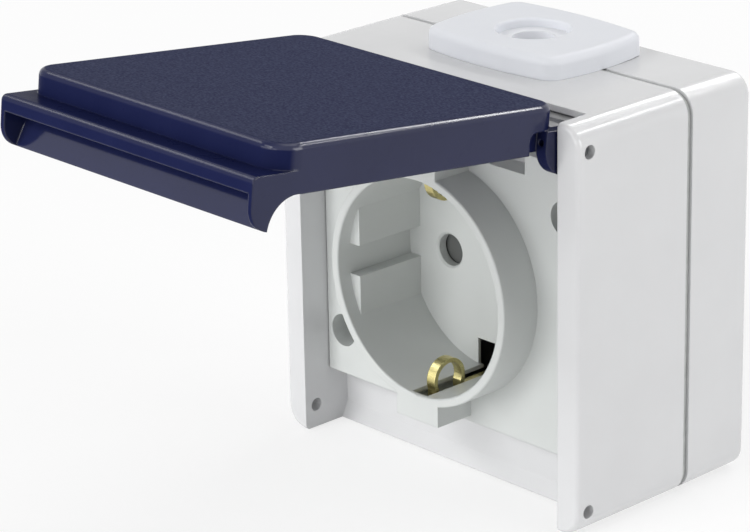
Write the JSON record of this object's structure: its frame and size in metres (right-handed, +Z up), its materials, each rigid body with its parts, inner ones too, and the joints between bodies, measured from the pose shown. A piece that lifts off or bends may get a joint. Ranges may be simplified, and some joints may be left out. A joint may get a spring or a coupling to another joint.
{
  "type": "outdoor weatherproof wall socket",
  "caption": "Surface-mounted earthed wall socket: square grey housing, round recessed plug cup with earth clips, hinged dark blue lid standing open, white cable-entry plate on top.",
  "frame": {"origin": "on the wall face, midway between the two wall-fixing holes, on the axis of the plug cup", "axes": "+X to the right as seen from the front, +Y into the wall, +Z up"},
  "size_m": [0.072, 0.107, 0.0817],
  "materials": {
    "housing_grey": "light grey moulded plastic, satin to semi-gloss",
    "lid_blue": "dark navy moulded plastic, finely grained outside, smooth edges",
    "entry_white": "white moulded soft plastic",
    "membrane_white": "white thin elastomer",
    "shutter_grey": "grey moulded plastic",
    "carrier_cream": "cream heat-proof moulding",
    "contact_brass": "plain stamped and cut brass",
    "screw_steel": "plain bright steel",
    "seal_rubber": "black rubber",
    "gasket_grey": "grey-green foam rubber strip"
  },
  "bodies": {
    "housing": {"rear_box": "housing_grey", "front_housing": "housing_grey", "housing_gasket": "gasket_grey", "socket_insert": "housing_grey", "contact_carrier": "carrier_cream", "line_contact_left": "contact_brass", "line_contact_right": "contact_brass", "terminal_left": "contact_brass", "terminal_right": "contact_brass", "terminal_earth": "contact_brass", "terminal_screws": "screw_steel", "earth_contact": "contact_brass", "carrier_screws": "screw_steel", "cover_screws": "screw_steel", "cover_screw_seals": "seal_rubber", "entry_plate": "entry_white", "entry_membrane": "membrane_white", "hinge_pin_left": "screw_steel", "hinge_pin_right": "screw_steel"},
    "lid": {"lid": "lid_blue", "lid_seal": "seal_rubber"},
    "shutter": {"safety_shutter": "shutter_grey"}
  },
  "joints": [
    {"name": "lid_hinge", "type": "hinge", "parent": "housing", "child": "lid", "pos_m": [0, -0.0397, 0.03151], "axis": [1, 0, 0], "range_deg": [0, 96.8]},
    {"name": "shutter_turn", "type": "hinge", "parent": "housing", "child": "shutter", "pos_m": [0, -0.02385, 0], "axis": [0, 1, 0], "range_deg": [0, 50], "stiffness_Nm_per_rad": 0.0005}
  ]
}
